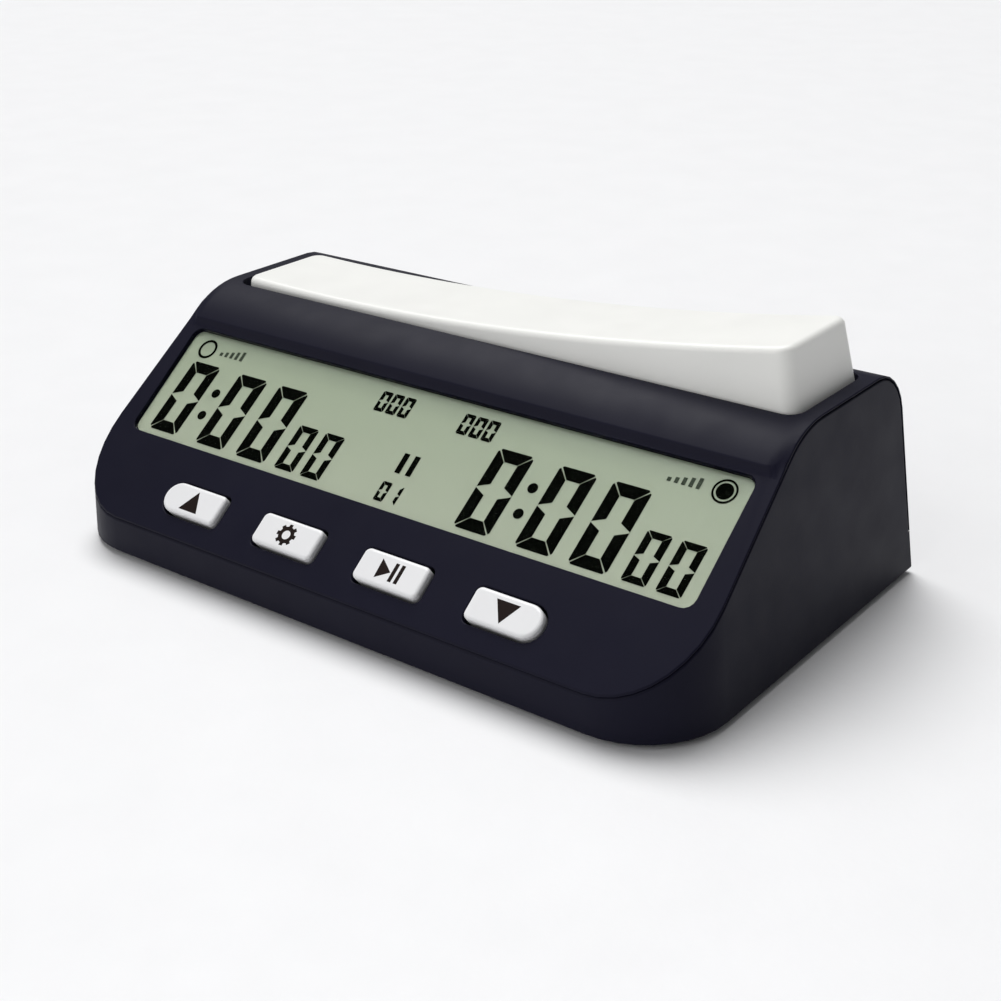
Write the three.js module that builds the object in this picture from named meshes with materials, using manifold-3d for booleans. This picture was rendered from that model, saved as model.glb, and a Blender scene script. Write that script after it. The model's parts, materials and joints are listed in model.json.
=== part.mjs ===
// Digital chess clock with a rocker bar: face cover, base tub, rocker, keys, display, board and battery bay.
// Millimetres, +Z up, +X to the player's right, +Y to the back. The origin is under the middle of the
// clock, on the surface that the rubber feet stand on.
import * as THREE from 'three';
import { mergeVertices } from 'three/addons/utils/BufferGeometryUtils.js';
import Module from 'manifold-3d';

const wasm = await Module();
wasm.setup();

// ---------- driving dimensions ----------
const rad = THREE.MathUtils.degToRad;
const FOOT_PROUD = 1.0;          // how far the feet lift the base
const GAP = 0.3;                 // clearance between neighbouring pieces

// outer body, measured from the underside of the base
const BODY_W = 150;              // width at the bottom edge
const BODY_D = 88;               // depth at the bottom edge
const CORNER_R = 17;             // front corners in plan
const SIDE_DRAFT = rad(4.9);     // cheeks lean inwards
const BACK_DRAFT = rad(8);       // back wall leans forwards
const FRONT_Y = -BODY_D / 2;
const SLOPE = rad(38);           // tilt of the display panel
const BAND_H = 8.1;              // height of the upright front band
const DECK_Z = 43.1;             // top deck
const BROW_V = 50;               // where the plain panel starts to roll over to the deck
const BROW_END_Y = 7.4;          // where the roll-over meets the deck
const BROW_RISE = 1.0;           // how far the brow stands proud above the window
const BROW_SLANT = 1.6;          // length of the slanted step above the window
const BROW_FADE = [[68.7, 1], [69.4, 0.92], [70.1, 0.7], [70.8, 0.4], [71.5, 0.14], [72.2, 0], [100, 0]];
const BACK_R = 10;               // rounding between deck and back wall
const BACK_ARC_Y = 29.25;        // centre of that rounding
const BACK_SPLIT_Z = 8.0;        // where the cover ends on the back wall

// shells
const TUB_WALL = 1.8;
const TUB_FLOOR = 2.2;
const COVER_WALL = 2.2;
const COVER_LIP = 1.0;           // thickness of the cover where it rests on the tub
const EDGE_LIP = 0.35;           // thickness of the cover's outermost edge
const RIM_W = 0.7;               // width of the tub's raised rim under that edge
const COVER_INSET = 2.2;         // distance of the thick part of the cover from the outer face
const LINING_Z = 7.2;            // the thick part of the cover ends this high above the base at the front

// display window, in panel coordinates (u across, v up the slope, w outwards)
const WINDOW = { u: 68.2, v0: 19.07, v1: 45.5, r: 2.2 };
const WINDOW_SINK = 0.2;
const LENS_T = 0.6;
const LENS_GAP = 0.12;           // between the clear window and the display glass
const GLASS_T = 2.2;
const FRAME_T = 3.9;

// contact strip between the display glass and the board
const ZEBRA = { u: 60, v0: 19.8, v1: 21.8 };
const LCD_FRAME = { u: 69.4, v0: 17.7, v1: 46.3, openV0: 24.5, openV1: 42 };

// keys
const KEY_W = 15.6;
const KEY_H = 6.95;
const KEY_V = 7.88;              // key centres up the slope
const KEY_PITCH = 25.8;
const KEY_SHIFT = -1.4;          // the row of keys sits a little left of the middle
const KEY_PROUD = 1.0;
const KEY_CORNER = 1.2;
const KEY_GAP = 0.35;
const KEY_FLANGE = 0.9;
const KEY_FOOT = -3.4;           // underside of a key's cap
const TACT = { half: 3.0, top: -4.7, holeR: 1.95, plungerR: 1.6, plungerTop: -3.7, plungerTip: -5.7 };
const KEYS = ['up', 'settings', 'play', 'down'];

// main board, under the panel
const BOARD_W = -8.0;            // level of the board's upper side
const BOARD_T = 1.6;
const BOARD_U = 57;
const BOARD_V = [4.6, 50.2];
const POSTS = [[-54, 15.2], [54, 15.2], [-54, 48.5], [54, 48.5]];
const POST_R = 1.8;
const POST_PILOT_R = 1.25;
const CHIP = { u0: 2, u1: 16, v0: 24, v1: 38, t: 1.6 };
const CRYSTAL = { u: -4, v: 31, r: 1.1, l: 6.2 };
const CAPACITOR = { u: 26, v: 31, r: 2.6, h: 6 };
const BOARD_SCREW = { headR: 1.9, shankR: 0.9, headT: 1.3, tipW: -4.4 };

// rocker and its well
const PIVOT_Z = 37;
const ROCKER_Y = 16.9;
const ROCKER_TILT = rad(4.4);    // half of the full swing; the clock is drawn with the left end down
const ROCKER_HALF_L = 67.8;      // at pivot height
const ROCKER_HALF_W = 12.35;
const ROCKER_END_DRAFT = rad(8);
const ROCKER_SIDE_DRAFT = rad(5);
const ROCKER_TOP = 8.75;         // top skin at the middle, above the pivot
const ROCKER_DISH = 0.0008;      // the top is z = ROCKER_TOP + ROCKER_DISH * x * x
const ROCKER_SKIRT = -1.6;
const ROCKER_WALL = 1.8;
const WELL = { x: 68.1, y: 12.7, r: 3.0, floor: 29.4, wallX: 1.0, wallY: 1.4, bottom: 1.6 };
const AXLE_R = 1.5;
const BORE_R = 1.85;
const AXLE_HALF_L = 9.6;
const EAR_R = 3.2;               // ears of the cover, ribs and hub of the rocker around the axle
const EAR_Y = [6.3, 8.3];        // from the rocker's middle to either side
const RIB_Y = [3.6, 5.6];
const LEG = { x: 1.5, y: 1.8, z: -15 };
const LEG_SLOT = { x: 4.5, y: 2.7 };

// rocker switch under the well
const SWITCH = { x: 4.6, y: 2.4, z0: 17.0, z1: 21.2, wall: 1.1 };
const SLIDER = { x: 3.6, y: 1.5, stemX: 1.6, stemY: 1.0, forkGap: 0.4, above: 2.6 };
const SWITCH_BOARD = { x: 7, y: 11.5, z0: 15.1, z1: 16.7 };
const SWITCH_POST = { y: 8.9, r: 1.9, screwTip: 23.5, pilotTop: 25 };

// buzzer and power switch on the floor of the tub
const BUZZER = { x: 38, y: 0, r: 8, top: 6.6, soundR: 5.5, soundTop: 3.4, holePitch: 3, holeR: 0.9 };
const POWER = { x: 37.2, y: 24, halfX: 6.6, halfY: 3.6, top: 7.2, slotX: 5.0, slotY: 1.9 };
const POWER_SLIDER = { x: 35.1, halfX: 2.2, halfY: 1.2, z0: 0.4, z1: 4.6 };
const POWER_ROOM = { halfX: 4.6, halfY: 1.5, top: 5 };

// battery bay, two AAA cells side by side
const CELL = { r: 5.25, l: 44.5, z: 8.1, pitch: 11.2 };
const BAY = { x0: -60.3, x1: -9.5, y0: 7.9, y1: 30.3, top: 13.9, wall: 1.5 };
const DOOR = { x0: -59.3, x1: -10.5, y0: 8.3, y1: 43.6, t: 1.5, tongue: 0.9, tongueY1: 38, tongueZ: 0.85 };
const CHANNEL = { side: 2.6, y1: 42.5, top: 3.9, grooveZ: 0.55 };
const GRIPS = { x0: -43, x1: -27, ys: [12, 14, 16], wide: 0.8, deep: 0.4 };
const CONTACT = { half: 4, t: 0.4, fromWall: 0.15 };
const SPRING = { rBase: 3.4, rTip: 2.0, wire: 0.3, turns: 3, perTurn: 10 };
const NUB = { r: 1.9, l: 1.0 };  // positive end of a cell

// fasteners and feet
const REAR_SCREW = { x: 66.5, y: 35.2, head: 12.4, top: 18.0, tip: 26 };
const FRONT_SCREW = { x: 63.5, y: -32, head: 1.9, top: 6.5, tip: 11 };
const FEET = [[-52, -36], [52, -36], [-67.5, 25], [67.5, 25]];
const SCREW_HEAD = { r: 2.1, t: 1.3, hole: 2.5 };
const SCREW_SHANK_R = 1.05;
const PILOT_R = 1.4;
const COVER_BOSS_R = 2.8;
const TUB_BOSS_R = 3.2;
const FOOT_R = 4.5;
const FOOT_SUNK = 0.7;           // how far a foot's pad goes into its pocket
const LEAD_R = 0.6;

// ---------- materials ----------
function mat(color, roughness, metalness = 0) {
  return new THREE.MeshStandardMaterial({ color, roughness, metalness });
}
const M = {
  shell: mat(0x26252f, 0.5),
  rocker: mat(0xf3f3f0, 0.45),
  key: mat(0xe9e9ea, 0.4),
  lens: new THREE.MeshStandardMaterial({ color: 0xdfe8df, roughness: 0.05, transparent: true, opacity: 0.3 }),
  lcd: mat(0x9caa92, 0.3),
  frame: mat(0xd8d8d4, 0.6),
  rubber: mat(0x1c1c1e, 0.9),
  board: mat(0x2f5a3a, 0.6),
  chip: mat(0x151515, 0.5),
  steel: mat(0xb9bcc0, 0.3, 1),
  tin: mat(0xc9c9c4, 0.4, 1),
  cell: mat(0x3a6ea5, 0.4),
  leadRed: mat(0xa32a24, 0.6),
  leadBlack: mat(0x1b1b1b, 0.6),
};

// ---------- geometry helpers ----------
function solid(geometry, matrix) {
  const g = geometry.clone();
  if (matrix) {
    g.applyMatrix4(matrix);
  }
  g.deleteAttribute('normal');
  g.deleteAttribute('uv');
  const m = mergeVertices(g, 1e-4);
  const triVerts = Uint32Array.from(m.index.array);
  const vertProperties = Float32Array.from(m.attributes.position.array);
  return new wasm.Manifold(new wasm.Mesh({ numProp: 3, vertProperties, triVerts }));
}

function toGeometry(manifold) {
  const mesh = manifold.getMesh();
  const g = new THREE.BufferGeometry();
  g.setAttribute('position', new THREE.BufferAttribute(Float32Array.from(mesh.vertProperties), 3));
  g.setIndex(new THREE.BufferAttribute(Uint32Array.from(mesh.triVerts), 1));
  const flat = g.toNonIndexed();
  flat.computeVertexNormals();
  return flat;
}

function boxGeometry(x0, x1, y0, y1, z0, z1) {
  const g = new THREE.BoxGeometry(x1 - x0, y1 - y0, z1 - z0);
  return g.translate((x0 + x1) / 2, (y0 + y1) / 2, (z0 + z1) / 2);
}

function box(x0, x1, y0, y1, z0, z1, matrix) {
  return solid(boxGeometry(x0, x1, y0, y1, z0, z1), matrix);
}

function rodGeometry(x, y, z0, z1, r, sides = 20) {
  const g = new THREE.CylinderGeometry(r, r, z1 - z0, sides);
  return g.rotateX(Math.PI / 2).translate(x, y, (z0 + z1) / 2);
}

function rod(x, y, z0, z1, r, sides = 20, matrix = undefined) {
  return solid(rodGeometry(x, y, z0, z1, r, sides), matrix);
}

// a cylinder whose axis runs along Y
function rodY(x, z, y0, y1, r, sides = 20) {
  const g = new THREE.CylinderGeometry(r, r, y1 - y0, sides);
  return solid(g.translate(x, (y0 + y1) / 2, z));
}

// an outline of [x, y] points, extruded from z0 to z1
function plateGeometry(outline, z0, z1) {
  const shape = new THREE.Shape(outline.map(([x, y]) => new THREE.Vector2(x, y)));
  const g = new THREE.ExtrudeGeometry(shape, { depth: z1 - z0, bevelEnabled: false });
  return g.translate(0, 0, z0);
}

function arc(cx, cy, r, a0, a1, steps) {
  const points = [];
  for (let i = 0; i <= steps; i += 1) {
    const a = rad(a0 + ((a1 - a0) * i) / steps);
    points.push([cx + r * Math.cos(a), cy + r * Math.sin(a)]);
  }
  return points;
}

// rectangle with one corner radius on the left and one on the right, anticlockwise
function roundedRect(x0, x1, y0, y1, rLeft, rRight = rLeft, steps = 4) {
  return [
    ...arc(x1 - rRight, y0 + rRight, rRight, -90, 0, steps),
    ...arc(x1 - rRight, y1 - rRight, rRight, 0, 90, steps),
    ...arc(x0 + rLeft, y1 - rLeft, rLeft, 90, 180, steps),
    ...arc(x0 + rLeft, y0 + rLeft, rLeft, 180, 270, steps),
  ].filter(([x, y], i, all) => {
    const [px, py] = all[(i + all.length - 1) % all.length];
    return Math.hypot(x - px, y - py) > 1e-3;
  });
}

// joins rings of equal length into one closed solid; rings run anticlockwise seen from the last ring's side
function loft(rings) {
  const n = rings[0].length;
  const positions = rings.flat().flatMap((p) => [p.x, p.y, p.z]);
  const index = [];
  for (let k = 0; k + 1 < rings.length; k += 1) {
    for (let i = 0; i < n; i += 1) {
      const j = (i + 1) % n;
      const a = k * n + i;
      const b = k * n + j;
      index.push(a, b, b + n, a, b + n, a + n);
    }
  }
  const origin = rings[0][0];
  const across = rings[rings.length - 1][0].clone().sub(origin);
  const dominant = ['x', 'y', 'z'].sort((p, q) => Math.abs(across[q]) - Math.abs(across[p]))[0];
  const [s, t] = { x: ['y', 'z'], y: ['z', 'x'], z: ['x', 'y'] }[dominant];
  const last = (rings.length - 1) * n;
  [[rings[0], 0, true], [rings[rings.length - 1], last, false]].forEach(([ring, base, flip]) => {
    const flat = ring.map((p) => new THREE.Vector2(p[s], p[t]));
    THREE.ShapeUtils.triangulateShape(flat, []).forEach(([a, b, c]) => {
      index.push(base + a, base + (flip ? c : b), base + (flip ? b : c));
    });
  });
  const g = new THREE.BufferGeometry();
  g.setAttribute('position', new THREE.Float32BufferAttribute(positions, 3));
  g.setIndex(index);
  return g;
}

// a round wire along a list of points
function wireGeometry(points, radius, steps, sides = 6) {
  const path = new THREE.CatmullRomCurve3(points.map((p) => new THREE.Vector3(...p)));
  const section = new THREE.Shape(arc(0, 0, radius, 0, 360 - 360 / sides, sides - 1)
    .map(([x, y]) => new THREE.Vector2(x, y)));
  return new THREE.ExtrudeGeometry(section, { steps, extrudePath: path, bevelEnabled: false });
}

function join(...solids) {
  return solids.reduce((sum, next) => sum.add(next));
}

function cut(body, ...tools) {
  return tools.reduce((sum, next) => sum.subtract(next), body);
}

// ---------- the model's group ----------
const clock = new THREE.Group();
const body = new THREE.Group();
body.position.z = FOOT_PROUD;
clock.add(body);

// the panel group carries everything that is square to the sloping face
const panel = new THREE.Group();
panel.position.set(0, FRONT_Y, BAND_H);
panel.rotation.x = SLOPE;
body.add(panel);
panel.updateMatrix();
const onPanel = panel.matrix.clone();

// the rocker group turns about the axle
const rockerGroup = new THREE.Group();
rockerGroup.position.set(0, ROCKER_Y, PIVOT_Z);
rockerGroup.rotation.y = -ROCKER_TILT;
body.add(rockerGroup);

function put(parent, name, shape, material) {
  const geometry = shape.isBufferGeometry ? shape : toGeometry(shape);
  const mesh = new THREE.Mesh(geometry, material);
  mesh.name = name;
  parent.add(mesh);
  return mesh;
}

// ---------- outer form ----------
const everything = 100;          // farther out than any piece

// side view of the body, inset by a distance; brow is 0 at the cheeks and 1 over the window
function sideView(inset, brow) {
  const onSlope = (v, w) => [
    FRONT_Y + v * Math.cos(SLOPE) - w * Math.sin(SLOPE),
    BAND_H + v * Math.sin(SLOPE) + w * Math.cos(SLOPE),
  ];
  const start = onSlope(BROW_V - (BROW_V - WINDOW.v1 - 0.2 - BROW_SLANT) * brow, BROW_RISE * brow - inset);
  const end = [BROW_END_Y, DECK_Z - inset];
  const reach = (end[1] - start[1]) / Math.tan(SLOPE);
  const roll = new THREE.QuadraticBezierCurve(
    new THREE.Vector2(...start),
    new THREE.Vector2(start[0] + reach, end[1]),
    new THREE.Vector2(...end),
  ).getPoints(7).map((p) => [p.x, p.y]);
  const backAngle = THREE.MathUtils.radToDeg(BACK_DRAFT);
  const arcZ = DECK_Z - BACK_R;
  const round = arc(BACK_ARC_Y, arcZ, BACK_R - inset, backAngle, 90, 6);
  const [wallY, wallZ] = round[0];
  const below = -6;
  return [
    onSlope(-20, -inset),
    onSlope(-20, -inset - 4),
    [wallY + (wallZ - below) * Math.tan(BACK_DRAFT), below],
    ...round,
    ...roll.reverse(),
    onSlope(WINDOW.v1 + 0.2, -inset),
  ];
}

// the side view drawn out along X, with the brow fading out before the cheeks
function outerForm(inset, withBrow) {
  const right = withBrow ? BROW_FADE : [[everything, 0]];
  const left = [...right].reverse().map(([x, brow]) => [-x, brow]);
  const rings = [...left, ...right].map(([x, brow]) => {
    return sideView(inset, brow).map(([y, z]) => new THREE.Vector3(x, y, z));
  });
  return solid(loft(rings));
}

// plan view, drafted at the sides and open beyond the back wall
function planForm(inset, z0, z1 = 60) {
  const far = BODY_D / 2 + 12;
  const ring = (z) => {
    const half = BODY_W / 2 - inset - z * Math.tan(SIDE_DRAFT);
    const r = CORNER_R - inset;
    const front = FRONT_Y + inset;
    return [
      ...arc(-half + r, front + r, r, 180, 270, 9),
      ...arc(half - r, front + r, r, 270, 360, 9),
      [half, far],
      [-half, far],
    ].map(([x, y]) => new THREE.Vector3(x, y, z));
  };
  return solid(loft([ring(z0), ring(z1)]));
}

function slab(z0, z1) {
  return box(-everything, everything, -everything, everything, z0, z1);
}

const backBelow = box(-everything, everything, 0, everything, -10, BACK_SPLIT_Z);
const coverBackStop = box(-everything, everything, 0, everything, -10, BACK_SPLIT_Z + GAP);

// each case screw with its place, from the front left to the rear right
const caseScrews = [['front', FRONT_SCREW], ['rear', REAR_SCREW]].flatMap(([place, screw]) => [
  { ...screw, name: `case_screw_${place}_left`, x: -screw.x },
  { ...screw, name: `case_screw_${place}_right` },
]);

// ---------- face cover ----------
function keyOutline(i, grow) {
  const u = KEY_SHIFT + (i - 1.5) * KEY_PITCH;
  const half = KEY_W / 2 + grow;
  const high = KEY_H / 2 + grow;
  const full = high - 0.01;
  const corner = KEY_CORNER + grow;
  const left = i === 0 ? full : corner;
  const right = i === KEYS.length - 1 ? full : corner;
  return roundedRect(u - half, u + half, KEY_V - high, KEY_V + high, left, right, 5);
}

function makeFaceCover() {
  const outer = planForm(0, -5).intersect(outerForm(0, true));
  const skin = cut(outer, outerForm(EDGE_LIP, false), coverBackStop);
  const withinRim = planForm(RIM_W + GAP, -5).intersect(outerForm(EDGE_LIP - 0.05, false));
  const rest = cut(withinRim, outerForm(COVER_LIP, false), coverBackStop);
  const inside = planForm(COVER_INSET, -5).intersect(outerForm(COVER_LIP - 0.1, false));
  const liningStop = box(-everything, everything, -everything, 0, -10, LINING_Z);
  const lining = cut(inside, outerForm(COVER_WALL, false), coverBackStop, liningStop);
  const hull = planForm(COVER_INSET, -5).intersect(outerForm(COVER_LIP / 2, false));
  const wellX = WELL.x + WELL.wallX;
  const wellY = WELL.y + WELL.wallY;
  const wellBlock = box(-wellX, wellX, ROCKER_Y - wellY, ROCKER_Y + wellY, WELL.floor - WELL.bottom, DECK_Z);
  const bosses = caseScrews.map(({ x, y, top }) => rod(x, y, top + GAP, DECK_Z, COVER_BOSS_R));
  const posts = POSTS.map(([u, v]) => rod(u, v, BOARD_W + GAP, -1, POST_R, 14, onPanel));
  const inner = join(wellBlock, ...bosses, ...posts).intersect(hull);
  let cover = join(skin, rest, lining, inner);

  const well = solid(plateGeometry(
    roundedRect(-WELL.x, WELL.x, ROCKER_Y - WELL.y, ROCKER_Y + WELL.y, WELL.r),
    WELL.floor,
    60,
  ));
  const { x: slotX, y: slotY } = LEG_SLOT;
  const legSlot = box(-slotX, slotX, ROCKER_Y - slotY, ROCKER_Y + slotY, 20, WELL.floor + 1);
  const window = solid(plateGeometry(
    roundedRect(-WINDOW.u, WINDOW.u, WINDOW.v0, WINDOW.v1, WINDOW.r),
    -6,
    6,
  ), onPanel);
  const keyHoles = KEYS.map((_, i) => solid(plateGeometry(keyOutline(i, KEY_GAP), -6, 3), onPanel));
  const casePilots = caseScrews.map(({ x, y, top, tip }) => rod(x, y, top - 2, tip + 0.6, PILOT_R, 14));
  const postPilots = POSTS.map(([u, v]) => rod(u, v, BOARD_W - 1, KEY_FOOT, POST_PILOT_R, 12, onPanel));
  cover = cut(cover, well, legSlot, window, ...keyHoles, ...casePilots, ...postPilots);

  const ears = [-1, 1].map((side) => {
    const y0 = ROCKER_Y + (side < 0 ? -EAR_Y[1] : EAR_Y[0]);
    const ear = solid(plateGeometry(
      [[-EAR_R, WELL.floor - 0.5], [EAR_R, WELL.floor - 0.5], ...arc(0, PIVOT_Z, EAR_R, 0, 180, 8)],
      0,
      EAR_Y[1] - EAR_Y[0],
    ), new THREE.Matrix4().makeRotationX(Math.PI / 2).setPosition(0, y0 + EAR_Y[1] - EAR_Y[0], 0));
    return ear.subtract(rodY(0, PIVOT_Z, y0 - 1, y0 + 3, BORE_R, 18));
  });
  const switchPosts = [-1, 1].map((side) => cut(
    rod(0, ROCKER_Y + side * SWITCH_POST.y, SWITCH_BOARD.z1 + GAP, WELL.floor - 0.5, SWITCH_POST.r, 14),
    rod(0, ROCKER_Y + side * SWITCH_POST.y, SWITCH_BOARD.z1, SWITCH_POST.pilotTop, POST_PILOT_R, 12),
  ));
  return join(cover, ...ears, ...switchPosts);
}

// ---------- base tub ----------
function makeBaseTub() {
  const walls = planForm(0, 0).intersect(outerForm(COVER_LIP + GAP, false));
  const rim = cut(planForm(0, 0).intersect(outerForm(EDGE_LIP + GAP, false)), planForm(RIM_W, -5));
  const cheeksAndBand = join(walls, rim);
  const backBand = planForm(0, 0).intersect(outerForm(0, false)).intersect(backBelow);
  const lowInside = planForm(TUB_WALL, TUB_FLOOR).intersect(outerForm(COVER_WALL, false));
  const cavityLow = lowInside.intersect(slab(0, BAND_H));
  const cavityHigh = planForm(TUB_WALL, BACK_SPLIT_Z);
  const front = box(-everything, everything, -everything, 30, 0, 20);
  const cavityFront = planForm(TUB_WALL, TUB_FLOOR).intersect(front);
  let tub = cut(join(cheeksAndBand, backBand), cavityLow, cavityHigh, cavityFront);

  const { x0, x1, y0, y1, wall } = BAY;
  const bayShell = box(x0 - wall, x1 + wall, y0 - wall, y1 + wall, 1, BAY.top + wall);
  const channelRoof = box(DOOR.x0 - CHANNEL.side, DOOR.x1 + CHANNEL.side, BAY.y1, CHANNEL.y1, 1, CHANNEL.top);
  const bosses = caseScrews.map(({ x, y, top }) => rod(x, y, 1, top, TUB_BOSS_R));
  tub = join(tub, bayShell, channelRoof, ...bosses);

  const bay = box(x0, x1, y0, y1, -1, BAY.top);
  const channelTop = DOOR.t + GAP;
  const behind = BODY_D;
  const channel = box(DOOR.x0 - GAP, DOOR.x1 + GAP, DOOR.y0 - GAP, behind, -1, channelTop);
  const side = DOOR.tongue + GAP;
  const groove = box(DOOR.x0 - side, DOOR.x1 + side, DOOR.y0 - GAP, behind, CHANNEL.grooveZ, channelTop);
  const screwCuts = caseScrews.flatMap(({ x, y, head, top }) => [
    rod(x, y, -1, head + SCREW_HEAD.t, SCREW_HEAD.hole, 18),
    rod(x, y, 0, top + 1, PILOT_R, 14),
  ]);
  const footPockets = FEET.map(([x, y]) => rod(x, y, -1, FOOT_SUNK + GAP, FOOT_R + GAP, 24));
  const { x: powerX, y: powerY, slotX, slotY } = POWER;
  const powerSlot = box(powerX - slotX, powerX + slotX, powerY - slotY, powerY + slotY, -1, 4);
  const soundHoles = [[0, 0], [1, 0], [-1, 0], [0, 1], [0, -1]].map(([i, j]) => {
    const x = BUZZER.x + i * BUZZER.holePitch;
    const y = BUZZER.y + j * BUZZER.holePitch;
    return rod(x, y, -1, 4, BUZZER.holeR, 10);
  });
  return cut(tub, bay, channel, groove, ...screwCuts, ...footPockets, powerSlot, ...soundHoles);
}

put(body, 'face_cover', makeFaceCover(), M.shell);
put(body, 'base_tub', makeBaseTub(), M.shell);

// ---------- display ----------
function windowPlate(margin, w0, w1) {
  const { u, v0, v1, r } = WINDOW;
  return plateGeometry(roundedRect(-u + margin, u - margin, v0 + margin, v1 - margin, r - margin), w0, w1);
}
const lensTop = -WINDOW_SINK;
const glassTop = lensTop - LENS_T - LENS_GAP;
const frameTop = glassTop - GLASS_T - GAP;
put(panel, 'lens_window', windowPlate(0.2, lensTop - LENS_T, lensTop), M.lens);
put(panel, 'lcd_glass', windowPlate(0.3, glassTop - GLASS_T, glassTop), M.lcd);

const frameBottom = frameTop - FRAME_T;
const stripSlotU = ZEBRA.u + GAP;
const frameSolid = cut(
  box(-LCD_FRAME.u, LCD_FRAME.u, LCD_FRAME.v0, LCD_FRAME.v1, frameBottom, frameTop),
  box(-ZEBRA.u, ZEBRA.u, LCD_FRAME.openV0, LCD_FRAME.openV1, frameBottom - 1, frameTop + 1),
  box(-stripSlotU, stripSlotU, ZEBRA.v0 - GAP, ZEBRA.v1 + GAP, frameBottom - 1, frameTop + 1),
);
put(panel, 'lcd_frame', frameSolid, M.frame);
const strip = boxGeometry(-ZEBRA.u, ZEBRA.u, ZEBRA.v0, ZEBRA.v1, BOARD_W + GAP, frameTop);
put(panel, 'zebra_strip', strip, M.rubber);

// ---------- main board and what is soldered to it ----------
const boardBottom = BOARD_W - BOARD_T;
const mainBoard = cut(
  box(-BOARD_U, BOARD_U, BOARD_V[0], BOARD_V[1], boardBottom, BOARD_W),
  ...POSTS.map(([u, v]) => rod(u, v, boardBottom - 1, BOARD_W + 1, POST_PILOT_R, 12)),
);
put(panel, 'main_board', mainBoard, M.board);

// the parts hang under the board
const partsTop = boardBottom - GAP;
const chip = boxGeometry(CHIP.u0, CHIP.u1, CHIP.v0, CHIP.v1, partsTop - CHIP.t, partsTop);
put(panel, 'controller_chip', chip, M.chip);
const crystal = new THREE.CylinderGeometry(CRYSTAL.r, CRYSTAL.r, CRYSTAL.l, 12);
put(panel, 'crystal_can', crystal.translate(CRYSTAL.u, CRYSTAL.v, partsTop - CRYSTAL.r), M.tin);
const capacitor = rodGeometry(CAPACITOR.u, CAPACITOR.v, partsTop - CAPACITOR.h, partsTop, CAPACITOR.r, 16);
put(panel, 'filter_capacitor', capacitor, M.chip);

// a screw driven upwards, with a cross recess in the underside of its head
function makeScrew(x, y, headBottom, headTop, tip, headR, shankR) {
  const head = rod(x, y, headBottom, headTop, headR, 16);
  const shank = rod(x, y, headTop - 0.2, tip, shankR, 10);
  const low = headBottom - 0.1;
  const arm = headR * 0.6;
  const slot = 0.25;
  const cross = [
    box(x - arm, x + arm, y - slot, y + slot, low, low + 0.8),
    box(x - slot, x + slot, y - arm, y + arm, low, low + 0.8),
  ];
  return cut(head.add(shank), ...cross);
}

function boardScrew(x, y, top, tip) {
  return makeScrew(x, y, top - BOARD_SCREW.headT, top, tip, BOARD_SCREW.headR, BOARD_SCREW.shankR);
}
POSTS.forEach(([u, v], i) => {
  put(panel, `board_screw_${i + 1}`, boardScrew(u, v, partsTop, BOARD_SCREW.tipW), M.steel);
});

// ---------- keys ----------
KEYS.forEach((key, i) => {
  const u = KEY_SHIFT + (i - 1.5) * KEY_PITCH;
  const cap = solid(plateGeometry(keyOutline(i, 0), KEY_FOOT, KEY_PROUD));
  const flange = solid(plateGeometry(keyOutline(i, KEY_FLANGE), KEY_FOOT, -COVER_WALL - GAP));
  put(panel, `${key}_key`, cap.add(flange), M.key);
  const plunger = rodGeometry(u, KEY_V, TACT.plungerTip, TACT.plungerTop, TACT.plungerR, 14);
  put(panel, `${key}_plunger`, plunger, M.chip);
  const { half, top } = TACT;
  const block = box(u - half, u + half, KEY_V - half, KEY_V + half, BOARD_W + GAP, top);
  const hole = rod(u, KEY_V, TACT.plungerTip - 1, top + 1, TACT.holeR, 14);
  put(panel, `${key}_switch`, block.subtract(hole), M.tin);
});

// ---------- rocker ----------
// a block that narrows upwards from pivot height by the draft angles
function rockerBlock(inset, z0, z1) {
  const ring = (z) => {
    const x = ROCKER_HALF_L - inset - z * Math.tan(ROCKER_END_DRAFT);
    const y = ROCKER_HALF_W - inset - z * Math.tan(ROCKER_SIDE_DRAFT);
    const r = Math.max(2.6 - inset, 0.8);
    return roundedRect(-x, x, -y, y, r, r, 3).map((p) => new THREE.Vector3(p[0], p[1], z));
  };
  return solid(loft([ring(z0), ring(z1)]));
}

// everything below the dished top surface
function underDish(drop) {
  const outline = [[-75, -30], [75, -30]];
  for (let x = 75; x >= -75; x -= 7.5) {
    outline.push([x, ROCKER_TOP - drop + ROCKER_DISH * x * x]);
  }
  const turn = new THREE.Matrix4().makeRotationX(Math.PI / 2).setPosition(0, 20, 0);
  return solid(plateGeometry(outline, 0, 40), turn);
}

function makeRocker() {
  const shell = cut(
    rockerBlock(0, ROCKER_SKIRT, 20).intersect(underDish(0)),
    rockerBlock(ROCKER_WALL, ROCKER_SKIRT - 2, 20).intersect(underDish(ROCKER_WALL)),
  );
  const ribs = [-1, 1].map((side) => {
    const y0 = side < 0 ? -RIB_Y[1] : RIB_Y[0];
    return box(-EAR_R, EAR_R, y0, y0 + RIB_Y[1] - RIB_Y[0], -EAR_R, ROCKER_TOP - 1);
  });
  const bridge = box(-LEG.x, LEG.x, -RIB_Y[1] + 0.5, RIB_Y[1] - 0.5, EAR_R, ROCKER_TOP - 1);
  const leg = box(-LEG.x, LEG.x, -LEG.y, LEG.y, LEG.z, -3);
  const hub = box(-EAR_R, EAR_R, -LEG.y, LEG.y, -EAR_R, 4);
  const bore = rodY(0, 0, -RIB_Y[1] - 1, RIB_Y[1] + 1, BORE_R, 18);
  return cut(join(shell, ...ribs, bridge, leg, hub), bore);
}
put(rockerGroup, 'rocker', makeRocker(), M.rocker);
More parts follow.
